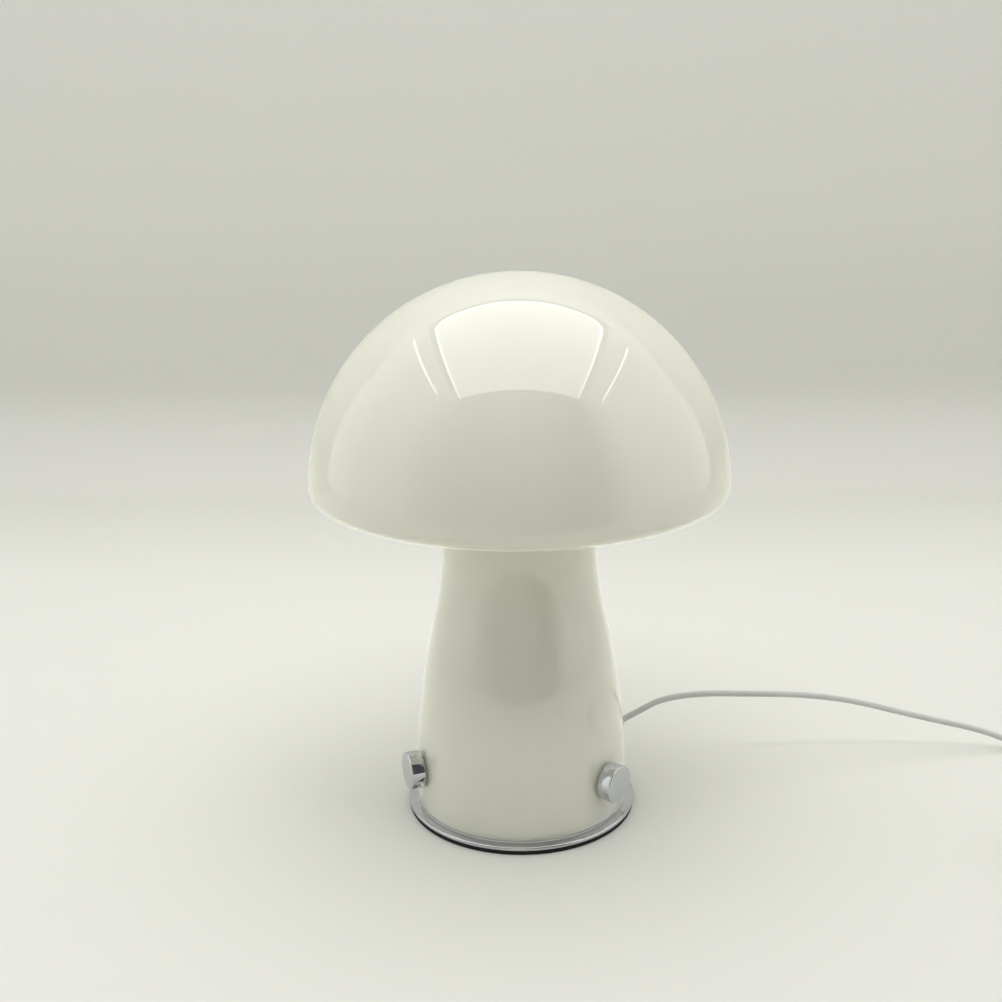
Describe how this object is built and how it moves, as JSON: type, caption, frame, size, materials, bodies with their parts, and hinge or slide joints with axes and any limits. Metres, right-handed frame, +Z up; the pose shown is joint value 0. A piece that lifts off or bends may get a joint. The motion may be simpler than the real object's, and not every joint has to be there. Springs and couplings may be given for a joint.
{
  "type": "mushroom table lamp",
  "caption": "Mushroom-shaped table lamp: one-piece opal glass cap and stem held to a chromed steel foot by three thumb screws, with lampholder, bulb, lead, switch and plug.",
  "frame": {"origin": "centre of the underside of the round foot pad", "axes": "+Z up along the axis of the lamp, -Y to the front between two of the three thumb screws, +X to the side where the lead leaves"},
  "size_m": [0.4, 0.2105, 0.2662],
  "materials": {
    "opal_glass": "blown opal white glass, glossy and fire polished, about 3 mm thick",
    "chromed_steel": "polished chromium plate",
    "eva_foam": "black closed-cell foam pad, matt",
    "clear_silicone": "milky clear silicone rubber",
    "zinc_plated_steel": "bright zinc plated",
    "moulded_thermoplastic": "moulded heat-resistant plastic, fine satin",
    "brass_contact": "bare spring brass",
    "nickel_plated_shell": "nickel plated pressed sheet",
    "black_insulator": "black glass-like insulator",
    "circuit_board": "green lacquered circuit board",
    "aluminium_board": "aluminium-core board with white lacquer",
    "led_phosphor": "yellow phosphor under clear resin",
    "frosted_polycarbonate": "frosted white diffuser",
    "bulb_housing_plastic": "white moulded plastic, semi gloss",
    "white_pvc_lead": "extruded soft white PVC, satin",
    "conductor_insulation": "coloured PVC insulation",
    "white_abs": "moulded white ABS, fine spark-eroded texture",
    "plug_tongue_plastic": "white contact carrier",
    "strap_fabric": "woven hook-and-loop strap"
  },
  "bodies": {
    "root": {"base_plate": "chromed_steel", "bracket_back": "zinc_plated_steel", "bracket_left": "zinc_plated_steel", "bracket_nuts": "zinc_plated_steel", "bracket_right": "zinc_plated_steel", "bracket_rivets": "zinc_plated_steel", "bulb_board": "aluminium_board", "bulb_cap": "nickel_plated_shell", "bulb_chips": "led_phosphor", "bulb_driver": "circuit_board", "bulb_globe": "frosted_polycarbonate", "bulb_housing": "bulb_housing_plastic", "bulb_insulator": "black_insulator", "bulb_tip": "nickel_plated_shell", "clamp_bar": "moulded_thermoplastic", "clamp_screws": "zinc_plated_steel", "coil_tie": "strap_fabric", "column": "zinc_plated_steel", "column_flange": "zinc_plated_steel", "column_nut": "zinc_plated_steel", "conductor_minus": "conductor_insulation", "conductor_plus": "conductor_insulation", "cord_arch": "white_pvc_lead", "cord_clamp": "moulded_thermoplastic", "cord_coil": "white_pvc_lead", "cord_grommet": "white_pvc_lead", "cord_link": "white_pvc_lead", "cord_tail": "white_pvc_lead", "flange_screws": "zinc_plated_steel", "foot_pad": "eva_foam", "glass_body": "opal_glass", "glass_bumpers": "clear_silicone", "glass_gasket": "clear_silicone", "holder_contact": "brass_contact", "holder_core": "moulded_thermoplastic", "holder_cup": "moulded_thermoplastic", "holder_shell": "moulded_thermoplastic", "holder_thread": "brass_contact", "lead_inside": "white_pvc_lead", "plug_body": "white_abs", "plug_contacts": "brass_contact", "plug_shell": "nickel_plated_shell", "plug_tongue": "plug_tongue_plastic", "switch_boots": "white_pvc_lead", "switch_conductor": "conductor_insulation", "switch_contacts": "brass_contact", "switch_lower": "white_abs", "switch_pin": "zinc_plated_steel", "switch_screws": "zinc_plated_steel", "switch_upper": "white_abs"},
    "washer_right": {"screw_washer_right": "clear_silicone"},
    "screw_right": {"thumb_screw_right": "chromed_steel"},
    "washer_left": {"screw_washer_left": "clear_silicone"},
    "screw_left": {"thumb_screw_left": "chromed_steel"},
    "washer_back": {"screw_washer_back": "clear_silicone"},
    "screw_back": {"thumb_screw_back": "chromed_steel"},
    "rocker": {"switch_rocker": "white_abs"}
  },
  "joints": [
    {"name": "right_screw_travel", "type": "slide", "parent": "root", "child": "washer_right", "axis": [0.866, -0.5, 0], "range_m": [0, 0.0073]},
    {"name": "right_screw_turn", "type": "hinge", "parent": "washer_right", "child": "screw_right", "pos_m": [0.0433, -0.025, 0.0259], "axis": [0.866, -0.5, 0], "range_deg": [0, 3240]},
    {"name": "left_screw_travel", "type": "slide", "parent": "root", "child": "washer_left", "axis": [-0.866, -0.5, 0], "range_m": [0, 0.0073]},
    {"name": "left_screw_turn", "type": "hinge", "parent": "washer_left", "child": "screw_left", "pos_m": [-0.0433, -0.025, 0.0259], "axis": [-0.866, -0.5, 0], "range_deg": [0, 3240]},
    {"name": "back_screw_travel", "type": "slide", "parent": "root", "child": "washer_back", "axis": [0, 1, 0], "range_m": [0, 0.0073]},
    {"name": "back_screw_turn", "type": "hinge", "parent": "washer_back", "child": "screw_back", "pos_m": [0, 0.05, 0.0259], "axis": [0, 1, 0], "range_deg": [0, 3240]},
    {"name": "switch_rock", "type": "hinge", "parent": "root", "child": "rocker", "pos_m": [0.291, 0.025, 0.0102], "axis": [-1, 0, 0], "range_deg": [0, 12]}
  ],
  "couplings": [
    {"joint": "right_screw_travel", "follows": "right_screw_turn", "m_per_rad": 0.00012732},
    {"joint": "left_screw_travel", "follows": "left_screw_turn", "m_per_rad": 0.00012732},
    {"joint": "back_screw_travel", "follows": "back_screw_turn", "m_per_rad": 0.00012732}
  ]
}
